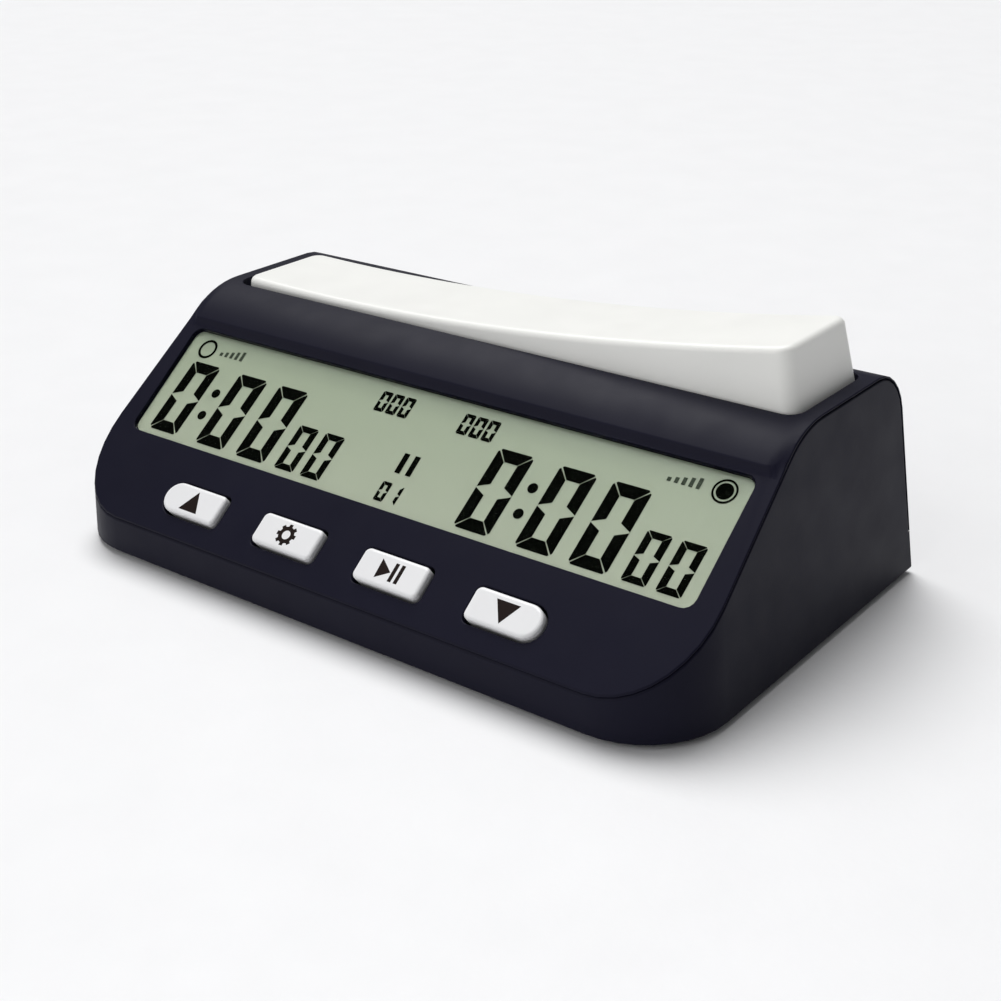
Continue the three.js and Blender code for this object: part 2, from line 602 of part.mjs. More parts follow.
const axle = rodY(0, PIVOT_Z, ROCKER_Y - AXLE_HALF_L, ROCKER_Y + AXLE_HALF_L, AXLE_R, 18);
put(body, 'rocker_axle', axle, M.steel);

// ---------- rocker switch ----------
function switchBox(halfX, halfY, z0, z1) {
  return box(-halfX, halfX, ROCKER_Y - halfY, ROCKER_Y + halfY, z0, z1);
}
const switchBody = cut(
  switchBox(SWITCH.x, SWITCH.y, SWITCH.z0, SWITCH.z1),
  switchBox(SWITCH.x - SWITCH.wall, SWITCH.y - SWITCH.wall, SWITCH.z0 + 1.4, SWITCH.z1 + 1),
);
put(body, 'rocker_switch', switchBody, M.tin);

// the slider's fork holds the tip of the rocker's leg
const legTipX = -LEG.z * Math.sin(ROCKER_TILT);
const legTipZ = PIVOT_Z + LEG.z;
const sliderTop = legTipZ + SLIDER.above;
const forkX = LEG.x + SLIDER.forkGap;
const slider = cut(
  join(
    switchBox(SLIDER.stemX, SLIDER.stemY, SWITCH.z0 + 1.7, SWITCH.z1 + GAP + 0.2),
    switchBox(SLIDER.x, SLIDER.y, SWITCH.z1 + GAP, sliderTop),
  ),
  switchBox(forkX, 2 * SLIDER.y, legTipZ - SLIDER.forkGap, sliderTop + 1),
);
put(body, 'rocker_slider', slider, M.chip).position.x = legTipX;

const { z0: boardZ0, z1: boardZ1 } = SWITCH_BOARD;
const switchPostY = [ROCKER_Y - SWITCH_POST.y, ROCKER_Y + SWITCH_POST.y];
const switchBoard = cut(
  switchBox(SWITCH_BOARD.x, SWITCH_BOARD.y, boardZ0, boardZ1),
  ...switchPostY.map((y) => rod(0, y, boardZ0 - 1, boardZ1 + 1, POST_PILOT_R, 12)),
);
put(body, 'switch_board', switchBoard, M.board);
switchPostY.forEach((y, i) => {
  put(body, `switch_screw_${i + 1}`, boardScrew(0, y, boardZ0 - GAP, SWITCH_POST.screwTip), M.steel);
});

// ---------- buzzer and power switch, on the floor of the tub ----------
const onFloor = TUB_FLOOR + GAP;
const buzzer = cut(
  rod(BUZZER.x, BUZZER.y, onFloor, BUZZER.top, BUZZER.r, 28),
  rod(BUZZER.x, BUZZER.y, onFloor - 1, BUZZER.soundTop, BUZZER.soundR, 20),
);
put(body, 'buzzer', buzzer, M.chip);

function centredBox(x, y, halfX, halfY, z0, z1) {
  return boxGeometry(x - halfX, x + halfX, y - halfY, y + halfY, z0, z1);
}
const powerSwitch = cut(
  solid(centredBox(POWER.x, POWER.y, POWER.halfX, POWER.halfY, onFloor, POWER.top)),
  solid(centredBox(POWER.x, POWER.y, POWER_ROOM.halfX, POWER_ROOM.halfY, onFloor - 1, POWER_ROOM.top)),
);
put(body, 'power_switch', powerSwitch, M.tin);
const { x: knobX, halfX: knobHalfX, halfY: knobHalfY, z0: knobZ0, z1: knobZ1 } = POWER_SLIDER;
put(body, 'power_slider', centredBox(knobX, POWER.y, knobHalfX, knobHalfY, knobZ0, knobZ1), M.chip);

// ---------- battery bay ----------
const bayMidY = (BAY.y0 + BAY.y1) / 2;
const cellY = [bayMidY - CELL.pitch / 2, bayMidY + CELL.pitch / 2];
const door = join(
  box(DOOR.x0, DOOR.x1, DOOR.y0, DOOR.y1, 0, DOOR.t),
  box(DOOR.x0 - DOOR.tongue, DOOR.x1 + DOOR.tongue, DOOR.y0, DOOR.tongueY1, DOOR.tongueZ, DOOR.t),
);
const grips = GRIPS.ys.map((y) => box(GRIPS.x0, GRIPS.x1, y, y + GRIPS.wide, -1, GRIPS.deep));
put(body, 'battery_door', cut(door, ...grips), M.shell);

// the first cell points right and the second points left
[1, -1].forEach((way, i) => {
  const shoulder = CELL.l - NUB.l;
  const profile = [[0, 0], [CELL.r, 0], [CELL.r, shoulder], [NUB.r, shoulder], [NUB.r, CELL.l], [0, CELL.l]]
    .map(([x, y]) => new THREE.Vector2(x, y));
  const cell = new THREE.LatheGeometry(profile, 24).rotateZ(-way * Math.PI / 2);
  const x = way > 0 ? BAY.x1 - 1.0 - CELL.l : BAY.x0 + 1.0 + CELL.l;
  put(body, `battery_${i + 1}`, solid(cell.translate(x, cellY[i], CELL.z)), M.cell);
});

function contactPlate(x0, y0, y1) {
  return boxGeometry(x0, x0 + CONTACT.t, y0, y1, CELL.z - CONTACT.half, CELL.z + CONTACT.half);
}
const leftX = BAY.x0 + CONTACT.fromWall;
const rightX = BAY.x1 - CONTACT.fromWall - CONTACT.t;
put(body, 'battery_link', contactPlate(leftX, cellY[0] - CONTACT.half, cellY[1] + CONTACT.half), M.tin);
['positive', 'negative'].forEach((sign, i) => {
  const plate = contactPlate(rightX, cellY[i] - CONTACT.half, cellY[i] + CONTACT.half);
  put(body, `battery_plate_${sign}`, plate, M.tin);
});

// a conical spring that narrows towards its cell
function springGeometry(x, y, z, length, way) {
  const steps = SPRING.turns * SPRING.perTurn;
  const points = [];
  for (let i = 0; i <= steps; i += 1) {
    const t = i / steps;
    const a = t * SPRING.turns * Math.PI * 2;
    const r = SPRING.rBase + (SPRING.rTip - SPRING.rBase) * t;
    points.push([x + way * t * length, y + r * Math.cos(a), z + r * Math.sin(a)]);
  }
  return wireGeometry(points, SPRING.wire, steps, 5);
}
const springFoot = CONTACT.fromWall + CONTACT.t + GAP + SPRING.wire;
const springRoom = BAY.x1 - BAY.x0 - CELL.l - 1.0 - springFoot - GAP - SPRING.wire;
const springs = [[BAY.x0 + springFoot, 1], [BAY.x1 - springFoot, -1]];
springs.forEach(([x, way], i) => {
  put(body, `battery_spring_${i + 1}`, springGeometry(x, cellY[i], CELL.z, springRoom, way), M.steel);
});

// ---------- leads ----------
const leads = {
  lead_positive: [[-7.3, 10, 12], [-4, 4, 12], [-3, -2, 13], [-10, -8, 14.5]],
  lead_negative: [[-7.3, 27, 9], [-2.5, 20, 8], [2, 6, 9], [0, -4, 11], [-2, -10, 12]],
  lead_switch: [[5.5, 6.4, 14.3], [8, 2, 15], [14, -2, 17], [20, -3, 19]],
};
Object.entries(leads).forEach(([name, points]) => {
  put(body, name, wireGeometry(points, LEAD_R, 12), name === 'lead_positive' ? M.leadRed : M.leadBlack);
});

// ---------- feet and case screws ----------
const footNames = ['front_left', 'front_right', 'rear_left', 'rear_right'];
FEET.forEach(([x, y], i) => {
  put(body, `foot_${footNames[i]}`, rodGeometry(x, y, -FOOT_PROUD, FOOT_SUNK, FOOT_R, 24), M.rubber);
});
caseScrews.forEach(({ name, x, y, head, tip }) => {
  const seat = head + SCREW_HEAD.t - GAP;
  const screw = makeScrew(x, y, seat - SCREW_HEAD.t, seat, tip, SCREW_HEAD.r, SCREW_SHANK_R);
  put(body, name, screw, M.steel);
});

export default clock;
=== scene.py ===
"""Looks of a digital chess clock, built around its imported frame."""
import json
import math

import bmesh
import bpy
from mathutils import Matrix, Vector
from mathutils.bvhtree import BVHTree


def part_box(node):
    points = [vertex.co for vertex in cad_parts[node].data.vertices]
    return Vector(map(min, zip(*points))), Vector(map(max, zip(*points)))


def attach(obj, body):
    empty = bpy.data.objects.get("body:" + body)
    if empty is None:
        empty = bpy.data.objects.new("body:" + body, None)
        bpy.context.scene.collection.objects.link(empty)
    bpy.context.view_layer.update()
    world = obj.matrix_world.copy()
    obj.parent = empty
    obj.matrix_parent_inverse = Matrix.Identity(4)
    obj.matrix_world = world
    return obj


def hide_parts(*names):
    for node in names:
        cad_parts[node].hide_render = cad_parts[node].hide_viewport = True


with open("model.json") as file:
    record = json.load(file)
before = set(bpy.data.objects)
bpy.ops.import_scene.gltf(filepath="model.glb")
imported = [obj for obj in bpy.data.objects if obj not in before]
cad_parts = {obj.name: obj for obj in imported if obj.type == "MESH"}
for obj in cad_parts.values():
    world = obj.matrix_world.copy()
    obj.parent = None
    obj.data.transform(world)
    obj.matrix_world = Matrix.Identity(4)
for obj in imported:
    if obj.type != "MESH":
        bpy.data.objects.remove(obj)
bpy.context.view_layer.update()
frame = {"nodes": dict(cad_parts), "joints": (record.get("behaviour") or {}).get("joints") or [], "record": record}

MM = 0.001
JOINTS = {joint["name"]: joint for joint in frame["joints"]}

# ---------- sizes, in millimetres ----------
BAND_TOP = 9.1              # upper edge of the front band, over the table
PANEL_NEAR = 0.2            # a point this close to the panel's plane is on the panel
PRINT = 0.02                # thickness of printed symbols
OVERLAP = 0.1               # blocks inside the rocker reach this far into one another

KEYS = ("up", "settings", "play", "down")   # from left to right
KEY_FLANGE = 0.9            # a key is wider than its cap by this much on each side, under the panel
KEY_MOAT = 0.2              # a cap is drawn this much smaller all round, for a visible gap
KEY_ROUND = 0.75            # rounding of a cap's upper edge, inwards
KEY_DROP = 0.6              # the same rounding, downwards
KEY_EDGE_STEPS = 7
KEY_CORNER = 1.25           # in plan; the outer ends of the row are fully round
KEY_END_SPARE = 0.01        # a fully round end stays this much short of half a cap's depth
KEY_ROW_HALF = 60           # the keys' openings lie nearer to the middle than this

ROCKER_HALF = (67.8, 12.35)   # at the level of the axle
ROCKER_CORNER = 2.9         # in plan, at the wall
ROCKER_TOP = 8.75
ROCKER_DISH = 0.0008        # the top is at ROCKER_TOP + ROCKER_DISH * x * x
ROCKER_CUTS = 36            # the dished long sides are drawn in this many lengths
ROCKER_ROUNDS = 5           # rounds in which a ring's places and heights settle
ROCKER_SKIRT = -1.6         # lower edge of the walls
ROCKER_SKIRT_EDGE = 0.25    # its chamfer
ROCKER_WALL = 1.8
ROCKER_EDGE = 1.25          # rounding of the upper edge
ROCKER_EDGE_STEPS = 8
ROCKER_CEILING = 4.0        # underside of the bar's thick top, over the axle
ROCKER_END_DRAFT = math.radians(8)
ROCKER_SIDE_DRAFT = math.radians(5)
HUB_HALF = 3.2              # the hub and ribs reach this far from the axle
HUB_TOP = ROCKER_CEILING + OVERLAP
HUB_SPANS = ((-5.6, -3.6), (-1.8, 1.8), (3.6, 5.6))   # rib, hub and rib along the axle
BORE_R = 1.85
LEG_HALF = (1.5, 1.8)

COVER_EDGE = 0.24           # rounding of the cover's outer edges
TUB_EDGE = 0.35             # the same on the tub
KEY_HOLE_EDGE = 0.22        # the same around the keys
WINDOW_EDGE = 0.15          # the same around the display's window
SEAM_EDGE = 0.1             # the most where another face is across a seam
BACK_SEAM_EDGE = 0.03       # the same on the low back seam, which is tighter
BACK_SEAM_Y = 38            # that seam is behind this
BACK_SEAM_Z = (6, 12)       # and between these heights
WINDOW_MARGIN = 1           # edges this close to the window belong to its opening
BAY_MARGIN = 2              # edges this close to the battery door belong to its bay
FOOT_EDGE = 0.25
DOOR_EDGE = 0.2
SLIDER_EDGE = 0.15

SHARP = math.radians(30)    # faces that meet at more than this have an edge between them


# ---------- frames of reference ----------
def node_points(node):
    return [vertex.co / MM for vertex in frame["nodes"][node].data.vertices]


slope = math.asin(JOINTS["play_press"]["axis"][1])
front_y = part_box("base_tub")[0].y / MM
PANEL = Matrix.Translation((0, front_y, BAND_TOP)) @ Matrix.Rotation(slope, 4, "X")
UNPANEL = PANEL.inverted()


def panel_box(node):
    """Lowest and highest corner of a node across, up and out of the sloping panel."""
    points = [UNPANEL @ p for p in node_points(node)]
    low = [min(p[i] for p in points) for i in range(3)]
    high = [max(p[i] for p in points) for i in range(3)]
    return low, high


pivot = Vector(JOINTS["rocker_tilt"]["pos_m"]) / MM
rocker_rest = -math.radians(JOINTS["rocker_tilt"]["range_deg"][1]) / 2
ROCKER = Matrix.Translation(pivot) @ Matrix.Rotation(rocker_rest, 4, "Y")


# ---------- meshes ----------
def piece(name, verts, faces, place, body, slot, *replaced):
    """A new piece from points in millimetres, put in place by a matrix, riding on a body."""
    mesh = bpy.data.meshes.new(name)
    mesh.from_pydata([(place @ Vector(v)) * MM for v in verts], [], faces)
    mesh.validate()
    mesh.update()
    obj = bpy.data.objects.new(name, mesh)
    bpy.context.scene.collection.objects.link(obj)
    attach(obj, body)
    if replaced:
        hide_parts(*replaced)
    return obj


def loft(rings, top_cap=True):
    """Joins rings of equal length; they run anticlockwise seen from the last ring's side."""
    n = len(rings[0])
    verts = [p for ring in rings for p in ring]
    faces = []
    for k in range(len(rings) - 1):
        for i in range(n):
            j = (i + 1) % n
            faces.append((k * n + i, k * n + j, (k + 1) * n + j, (k + 1) * n + i))
    faces.append(tuple(reversed(range(n))))
    if top_cap:
        faces.append(tuple(range(len(verts) - n, len(verts))))
    return verts, faces


def shade_smooth(mesh):
    for polygon in mesh.polygons:
        polygon.use_smooth = True


def smooth(obj):
    """Smooth shading that keeps sharp edges."""
    shade_smooth(obj.data)
    obj.data.set_sharp_from_angle(angle=SHARP)


def flatten(obj, keep_sharp=True):
    """Large faces keep their flat look next to small roundings."""
    weighted = obj.modifiers.new("weighted", "WEIGHTED_NORMAL")
    weighted.mode = "FACE_AREA"
    weighted.keep_sharp = keep_sharp


def exact_normals(obj, place, normals):
    """Shading normals for some vertices, by index; the other vertices keep their own."""
    turn = place.to_3x3()
    values = [Vector((0, 0, 0))] * len(obj.data.loops)
    for loop in obj.data.loops:
        if loop.vertex_index in normals:
            values[loop.index] = (turn @ normals[loop.vertex_index]).normalized()
    obj.data.normals_split_custom_set(values)


def arc(cx, cy, radius, start, end, steps):
    """Points and outward directions along an arc, angles in degrees."""
    points = []
    for i in range(steps + 1):
        angle = math.radians(start + (end - start) * i / steps)
        out = (math.cos(angle), math.sin(angle))
        points.append(((cx + radius * out[0], cy + radius * out[1]), out))
    return points


def rounded_rect(x0, x1, y0, y1, left, right, steps=8):
    """Anticlockwise outline with outward directions; left and right are the corner radii."""
    return (
        arc(x1 - right, y0 + right, right, -90, 0, steps)
        + arc(x1 - right, y1 - right, right, 0, 90, steps)
        + arc(x0 + left, y1 - left, left, 90, 180, steps)
        + arc(x0 + left, y0 + left, left, 180, 270, steps)
    )


def ring_at(outline, inset, height):
    return [(x - nx * inset, y - ny * inset, height) for (x, y), (nx, ny) in outline]


def quarter(steps):
    """Share of a rounding's width and drop, from the wall up to the top face."""
    angles = [math.pi / 2 * i / steps for i in range(1, steps + 1)]
    return [(1 - math.cos(a), 1 - math.sin(a)) for a in angles]


def rect(x0, x1, y0, y1):
    return [(x0, y0), (x1, y0), (x1, y1), (x0, y1)]


def plates(polygons, low, high):
    """Flat anticlockwise polygons, each made into a thin closed plate."""
    verts, faces = [], []
    for polygon in polygons:
        base, n = len(verts), len(polygon)
        verts += [(x, y, low) for x, y in polygon] + [(x, y, high) for x, y in polygon]
        faces.append(tuple(base + i for i in reversed(range(n))))
        faces.append(tuple(base + n + i for i in range(n)))
        for i in range(n):
            j = (i + 1) % n
            faces.append((base + i, base + j, base + n + j, base + n + i))
    return verts, faces


def ring_plates(cx, cy, outer, inner, low, high, steps=48):
    """A flat ring as a closed band."""
    section = ((outer, low), (outer, high), (inner, high), (inner, low))
    verts, faces = [], []
    for i in range(steps):
        angle = math.tau * i / steps
        c, s = math.cos(angle), math.sin(angle)
        verts += [(cx + r * c, cy + r * s, z) for r, z in section]
    for i in range(steps):
        a, b = 4 * i, 4 * ((i + 1) % steps)
        faces += [(a + k, b + k, b + (k + 1) % 4, a + (k + 1) % 4) for k in range(4)]
    return verts, faces


def merged(*parts):
    """Several (verts, faces) pairs as one."""
    verts, faces = [], []
    for part_verts, part_faces in parts:
        base = len(verts)
        verts += part_verts
        faces += [tuple(base + i for i in face) for face in part_faces]
    return verts, faces


# ---------- materials ----------
def material(name, colour, roughness, metallic=0.0):
    mat = bpy.data.materials.new(name)
    mat.use_nodes = True
    shader = mat.node_tree.nodes["Principled BSDF"]
    shader.inputs["Base Color"].default_value = (*colour, 1)
    shader.inputs["Roughness"].default_value = roughness
    shader.inputs["Metallic"].default_value = metallic
    return mat, shader


def add(mat, kind, **values):
    node = mat.node_tree.nodes.new(kind)
    for key, value in values.items():
        setattr(node, key, value)
    return node


def link(mat, source, target):
    mat.node_tree.links.new(source, target)


def noise(mat, per_mm, detail):
    """Noise in the object's own coordinates, with about per_mm features to the millimetre."""
    place = add(mat, "ShaderNodeTexCoord")
    texture = add(mat, "ShaderNodeTexNoise")
    texture.inputs["Scale"].default_value = per_mm / MM
    texture.inputs["Detail"].default_value = detail
    link(mat, place.outputs["Object"], texture.inputs["Vector"])
    return texture.outputs["Fac"]


def spread(mat, value, low, high, low_in=0.3, high_in=0.7):
    """A number that follows a 0 to 1 value between two limits."""
    node = add(mat, "ShaderNodeMapRange")
    node.inputs["From Min"].default_value = low_in
    node.inputs["From Max"].default_value = high_in
    node.inputs["To Min"].default_value = low
    node.inputs["To Max"].default_value = high
    link(mat, value, node.inputs["Value"])
    return node.outputs["Result"]


def blend_colours(mat, value, first, second):
    node = add(mat, "ShaderNodeMix", data_type="RGBA")
    node.inputs["A"].default_value = (*first, 1)
    node.inputs["B"].default_value = (*second, 1)
    link(mat, value, node.inputs["Factor"])
    return node.outputs["Result"]


def bump(mat, shader, value, height_mm):
    node = add(mat, "ShaderNodeBump")
    node.inputs["Strength"].default_value = 1
    node.inputs["Distance"].default_value = height_mm * MM
    link(mat, value, node.inputs["Height"])
    link(mat, node.outputs["Normal"], shader.inputs["Normal"])


def tinted(colour, factor):
    return tuple(c * factor for c in colour)


def moulded(
    name, colour, roughness, grain_per_mm=4.0, grain_mm=0.012, variation=0.06, specular=0.5
):
    """Moulded plastic: a spark-eroded grain, faint colour drift and uneven gloss."""
    mat, shader = material(name, colour, roughness)
    drift = spread(mat, noise(mat, 0.05, 3.0), 0, 1)
    tint = blend_colours(mat, drift, tinted(colour, 1 - variation), tinted(colour, 1 + variation))
    link(mat, tint, shader.inputs["Base Color"])
    gloss = spread(mat, noise(mat, 0.12, 4.0), roughness - 0.04, roughness + 0.04)
    link(mat, gloss, shader.inputs["Roughness"])
    shader.inputs["Specular IOR Level"].default_value = specular
    bump(mat, shader, noise(mat, grain_per_mm, 2.0), grain_mm)
    return mat


def metal(name, colour, roughness):
    """Plated metal with fine rolling marks."""
    mat, shader = material(name, colour, roughness, 1.0)
    marks = noise(mat, 1.5, 6.0)
    link(mat, spread(mat, marks, roughness - 0.08, roughness + 0.1), shader.inputs["Roughness"])
    tone = blend_colours(mat, noise(mat, 0.2, 3.0), tinted(colour, 0.92), tinted(colour, 1.05))
    link(mat, tone, shader.inputs["Base Color"])
    bump(mat, shader, marks, 0.004)
    return mat


SHELL = (0.0070, 0.0068, 0.0172)
shell = moulded("shell_plastic", SHELL, 0.46, specular=0.09)
rocker_white = moulded("rocker_plastic", (0.90, 0.90, 0.868), 0.42, grain_mm=0.006, variation=0.012)
key_white = moulded("key_plastic", (0.86, 0.86, 0.87), 0.34, grain_mm=0.003, variation=0.012)
frame_plastic = moulded("frame_plastic", (0.62, 0.62, 0.60), 0.55)
rubber = moulded("black_rubber", (0.022, 0.022, 0.022), 0.8, grain_mm=0.02)
chip_plastic = moulded("chip_plastic", (0.020, 0.020, 0.021), 0.5)
cell_jacket = moulded("cell_jacket", (0.05, 0.14, 0.34), 0.3, grain_mm=0.002)
lead_red = moulded("lead_red", (0.36, 0.03, 0.02), 0.5, grain_mm=0.002)
lead_black = moulded("lead_black", (0.02, 0.02, 0.02), 0.5, grain_mm=0.002)
tin = metal("tinned_metal", (0.62, 0.62, 0.60), 0.36)
steel = metal("steel", (0.56, 0.57, 0.59), 0.3)


def board_material():
    """Solder mask over faint copper tracks."""
    colour = (0.02, 0.12, 0.05)
    mat, shader = material("board", colour, 0.4)
    place = add(mat, "ShaderNodeTexCoord")
    tracks = add(mat, "ShaderNodeTexVoronoi", feature="DISTANCE_TO_EDGE", distance="MANHATTAN")
    tracks.inputs["Scale"].default_value = 0.35 / MM
    link(mat, place.outputs["Object"], tracks.inputs["Vector"])
    line = spread(mat, tracks.outputs["Distance"], 1, 0, 0.03, 0.08)
    link(mat, blend_colours(mat, line, colour, (0.05, 0.22, 0.10)), shader.inputs["Base Color"])
    bump(mat, shader, line, 0.03)
    return mat


board = board_material()


# colours up the display, each with its place between the lower edge and the upper one: the display's own colour
# with painted light, paler to the bottom, and a painted shadow just under the upper edge, where the window's brow
# would shade it
DISPLAY_COLOUR_AND_PAINTED_SHADE = (
    (0.00, (0.234, 0.256, 0.194)),
    (0.80, (0.190, 0.220, 0.156)),
    (0.93, (0.160, 0.188, 0.134)),
    (1.00, (0.120, 0.142, 0.102)),
)
# painted shade: the display is drawn darker towards its right end
DISPLAY_PAINTED_SHADE_RIGHT = 0.94        # brightness at the right end, as a share of that at the left


def display_material():
    """Grey-green reflective display with painted light and shade: paler to the bottom, a painted shadow just under
    its upper edge, and painted shade towards its right end.
    """
    low, high = panel_box("lcd_glass")
    mat, shader = material("display", (0.21, 0.24, 0.18), 0.45)
    place = add(mat, "ShaderNodeTexCoord")
    split = add(mat, "ShaderNodeSeparateXYZ")
    to_panel = add(mat, "ShaderNodeMapping", vector_type="POINT")
    to_panel.inputs["Scale"].default_value = (1 / MM, 1 / MM, 1 / MM)
    origin = Matrix.Rotation(-slope, 4, "X") @ Vector((0, -front_y, -BAND_TOP))
    to_panel.inputs["Location"].default_value = origin
    to_panel.inputs["Rotation"].default_value = (-slope, 0, 0)
    link(mat, place.outputs["Object"], to_panel.inputs["Vector"])
    link(mat, to_panel.outputs["Vector"], split.inputs["Vector"])
    height = spread(mat, split.outputs["Y"], 0, 1, low[1], high[1])
    # painted light and shade up the display: paler to the bottom, a painted shadow under the upper edge
    painted_shade_ramp = add(mat, "ShaderNodeValToRGB")
    stops = painted_shade_ramp.color_ramp.elements
    stops.remove(stops[1])
    for share, colour in DISPLAY_COLOUR_AND_PAINTED_SHADE[1:]:
        stops.new(share).color = (*colour, 1)
    stops[0].color = (*DISPLAY_COLOUR_AND_PAINTED_SHADE[0][1], 1)
    link(mat, height, painted_shade_ramp.inputs["Fac"])
    # painted shade, darker towards the right end
    across = spread(mat, split.outputs["X"], 1, DISPLAY_PAINTED_SHADE_RIGHT, low[0], high[0])
    tone = add(mat, "ShaderNodeMix", data_type="RGBA", blend_type="MULTIPLY")
    tone.inputs["Factor"].default_value = 1
    link(mat, painted_shade_ramp.outputs["Color"], tone.inputs["A"])
    link(mat, across, tone.inputs["B"])
    link(mat, tone.outputs["Result"], shader.inputs["Base Color"])
    bump(mat, shader, noise(mat, 6.0, 1.0), 0.002)
    return mat


display = display_material()


def segment_material():
    """Switched-on liquid crystal: nearly black, a little green."""
    mat, shader = material("segment", (0.0015, 0.0018, 0.0015), 0.6)
    shader.inputs["Specular IOR Level"].default_value = 0
    darkest, palest = (0.0010, 0.0013, 0.0009), (0.0020, 0.0024, 0.0018)
    tone = blend_colours(mat, noise(mat, 0.8, 2.0), darkest, palest)
    link(mat, tone, shader.inputs["Base Color"])
    return mat


segment = segment_material()
faint = moulded("segment_faint", (0.034, 0.041, 0.031), 0.5, specular=0)
ink = moulded("ink", (0.012, 0.006, 0.005), 0.5, grain_mm=0.002, specular=0.1)


def window_material():
    """Clear acrylic that lets lamps through to the display."""
    mat, shader = material("window", (0.97, 0.99, 0.97), 0.04)
    shader.inputs["Transmission Weight"].default_value = 1
    shader.inputs["IOR"].default_value = 1.04
    scratches = spread(mat, noise(mat, 0.5, 8.0), 0.02, 0.07)
    link(mat, scratches, shader.inputs["Roughness"])
    rays = add(mat, "ShaderNodeLightPath")
    clear = add(mat, "ShaderNodeBsdfTransparent")
    mix = add(mat, "ShaderNodeMixShader")
    out = mat.node_tree.nodes["Material Output"]
    link(mat, rays.outputs["Is Shadow Ray"], mix.inputs[0])
    link(mat, shader.outputs[0], mix.inputs[1])
    link(mat, clear.outputs[0], mix.inputs[2])
    link(mat, mix.outputs[0], out.inputs["Surface"])
    return mat


window = window_material()

# ---------- looks of the frame's own pieces ----------
LOOKS = {
    "shell_plastic": shell,
    "rocker_plastic": rocker_white,
    "key_plastic": key_white,
    "window": window,
    "display": display,
    "frame_plastic": frame_plastic,
    "black_rubber": rubber,
    "board": board,
    "chip_plastic": chip_plastic,
    "tinned_metal": tin,
    "steel": steel,
    "cell_jacket": cell_jacket,
    "lead_red": lead_red,
    "lead_black": lead_black,
}


def dress(node, look):
    obj = frame["nodes"][node]
    obj.data.materials.clear()
    obj.data.materials.append(look)


for part in frame["record"]["subparts"]:
    dress(part["node"], LOOKS[part["material_slot"]])

# ---------- cover and tub, copied with rounded edges ----------
RAY_START = 0.05            # a ray starts this far off its edge, in millimetres
NEAR = 1                    # a face this near is across a seam
OPEN_AIR = 100              # an edge that sees this far is on the outside
MERGE = 0.02                # points closer than this become one
ON_CUT = 0.001              # a point this close to a cut's plane is on it
SHELL_SEGMENTS = 3          # faces in a rounding


def sky_test(nodes):
    """Gives how far a point can see in a direction past the given nodes."""
    verts, faces = [], []
    for node in nodes:
        data = frame["nodes"][node].data
        base = len(verts)
        verts += [vertex.co / MM for vertex in data.vertices]
        faces += [tuple(base + i for i in polygon.vertices) for polygon in data.polygons]
    tree = BVHTree.FromPolygons(verts, faces)

    def free_way(point, direction):
        place, _, _, distance = tree.ray_cast(point + direction * RAY_START, direction)
        return math.inf if place is None else distance

    return free_way


def cut_upright(bm, places):
    """Splits faces with holes into plain polygons, by planes square to X; the cuts are marked."""
    for x in places:
        everything = bm.verts[:] + bm.edges[:] + bm.faces[:]
        found = bmesh.ops.bisect_plane(
            bm, geom=everything, dist=ON_CUT, plane_co=(x, 0, 0), plane_no=(1, 0, 0))
        for item in found["geom_cut"]:
            if isinstance(item, bmesh.types.BMEdge):
                item.seam = True


def weigh_edges(bm, width_at, free_way):
    """Bevel weights, in millimetres, for the outer convex edges; other sharp edges stay sharp."""
    weights = bm.edges.layers.float.new("bevel_weight_edge")
    for edge in bm.edges:
        edge.seam = False
        if len(edge.link_faces) != 2 or edge.calc_face_angle() < SHARP:
            continue
        edge.smooth = False
        if edge.calc_face_angle_signed() < 0:
            continue
        middle = (edge.verts[0].co + edge.verts[1].co) / 2
        normals = [face.normal for face in edge.link_faces]
        ways = [free_way(middle, n) for n in (*normals, (normals[0] + normals[1]).normalized())]
        if max(ways) > OPEN_AIR:
            width = width_at(middle)
            edge[weights] = min(width, SEAM_EDGE) if min(ways) < NEAR else width
            edge.smooth = edge[weights] > 0


def rounded_copy(name, node, places, width_at, free_way, flat):
    """A copy of a node whose outer convex edges are rounded by width_at(edge's middle).

    Its faces are cut at the places along X, and those that meet at less than flat degrees
    become one."""
    bm = bmesh.new()
    bm.from_mesh(frame["nodes"][node].data)
    bmesh.ops.scale(bm, vec=(1 / MM, 1 / MM, 1 / MM), verts=bm.verts)
    bmesh.ops.remove_doubles(bm, verts=bm.verts, dist=MERGE)
    cut_upright(bm, places)
    bmesh.ops.dissolve_limit(
        bm, angle_limit=math.radians(flat), verts=bm.verts, edges=bm.edges, delimit={"SEAM"})
    bm.normal_update()
    weigh_edges(bm, width_at, free_way)
    bmesh.ops.scale(bm, vec=(MM, MM, MM), verts=bm.verts)
    mesh = bpy.data.meshes.new(name)
    bm.to_mesh(mesh)
    bm.free()
    obj = bpy.data.objects.new(name, mesh)
    bpy.context.scene.collection.objects.link(obj)
    bevel = obj.modifiers.new("edge", "BEVEL")
    bevel.width = MM
    bevel.segments = SHELL_SEGMENTS
    bevel.limit_method = "WEIGHT"
    bevel.use_clamp_overlap = False
    bevel.loop_slide = False
    part = next(p for p in frame["record"]["subparts"] if p["node"] == node)
    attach(obj, "housing")
    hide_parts(node)
    obj.data.materials.append(LOOKS[part["material_slot"]])
    shade_smooth(mesh)
    flatten(obj)


def key_middles():
    boxes = [panel_box(f"{key}_key") for key in KEYS]
    return [(low[0] + high[0]) / 2 for low, high in boxes]


TUB_CUTS = (-52, 0, 30, 52)   # places along X
housing_air = sky_test(("face_cover", "base_tub"))
door_low, door_high = (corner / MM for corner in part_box("battery_door"))
window_low, window_high = panel_box("lens_window")


